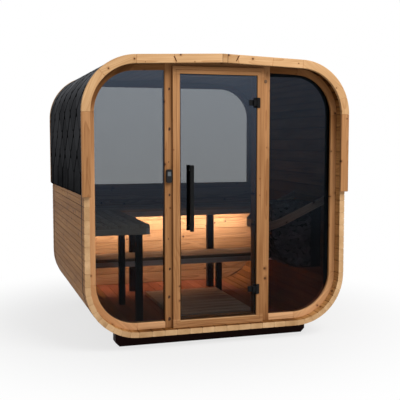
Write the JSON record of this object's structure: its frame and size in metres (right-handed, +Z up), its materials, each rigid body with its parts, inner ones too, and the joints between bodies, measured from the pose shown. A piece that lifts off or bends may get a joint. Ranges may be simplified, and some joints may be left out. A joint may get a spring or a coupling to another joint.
{
  "type": "sauna cabin",
  "caption": "Garden sauna cabin shaped as a rounded square stave tube on base beams, with a glazed front, a glass door that swings out, benches and a heater.",
  "frame": {"origin": "middle of the footprint, on the ground under the base beams", "axes": "+X to the right seen from the front, +Y to the back, +Z up"},
  "size_m": [2.03, 1.996, 2.125],
  "materials": {
    "thermo_wood": "brown heat treated softwood, planed",
    "trim_wood": "lighter softwood trim, planed",
    "bench_wood": "sanded softwood",
    "dark_wood": "stained near black",
    "shingle": "dark grey bitumen shingles",
    "steel_strap": "darkened steel band",
    "tinted_glass": "grey tinted toughened glass",
    "black_metal": "black powder coat",
    "heater_stone": "rough grey stones",
    "black_plastic": "black",
    "light_cover": "warm light cover"
  },
  "bodies": {
    "cabin": {"base_beam_front": "dark_wood", "base_beam_rear": "dark_wood", "bench_light": "light_cover", "control_box": "black_plastic", "door_head": "trim_wood", "door_jamb_left": "trim_wood", "door_jamb_right": "trim_wood", "door_sill": "trim_wood", "duckboard": "bench_wood", "front_fascia": "trim_wood", "front_frame_left": "trim_wood", "front_frame_right": "trim_wood", "front_head_rail": "trim_wood", "front_pane_left": "tinted_glass", "front_pane_right": "tinted_glass", "front_post_left": "trim_wood", "front_post_right": "trim_wood", "heater_box": "black_metal", "heater_cage": "black_metal", "heater_guard": "bench_wood", "heater_stones": "heater_stone", "hinge_brackets": "black_metal", "left_bench": "bench_wood", "lower_bench": "bench_wood", "lower_bench_legs": "bench_wood", "rear_bench": "bench_wood", "rear_fascia": "trim_wood", "rear_sill_rail": "thermo_wood", "rear_wall_boards": "thermo_wood", "rear_window_frame": "thermo_wood", "rear_window_pane": "tinted_glass", "shell_floor": "thermo_wood", "shell_left_side": "thermo_wood", "shell_lower_left_corner": "thermo_wood", "shell_lower_right_corner": "thermo_wood", "shell_right_side": "thermo_wood", "shell_roof": "thermo_wood", "shell_straps": "steel_strap", "shell_upper_left_corner": "thermo_wood", "shell_upper_right_corner": "thermo_wood", "shingle_cover": "shingle", "upper_bench_legs": "bench_wood"},
    "door": {"door_glass": "tinted_glass", "door_hinge_clamps": "black_metal", "door_handle": "black_metal"}
  },
  "joints": [
    {"name": "door_swing", "type": "hinge", "parent": "cabin", "child": "door", "pos_m": [0.2955, -0.932, 1], "axis": [0, 0, 1], "range_deg": [0, 110]}
  ]
}
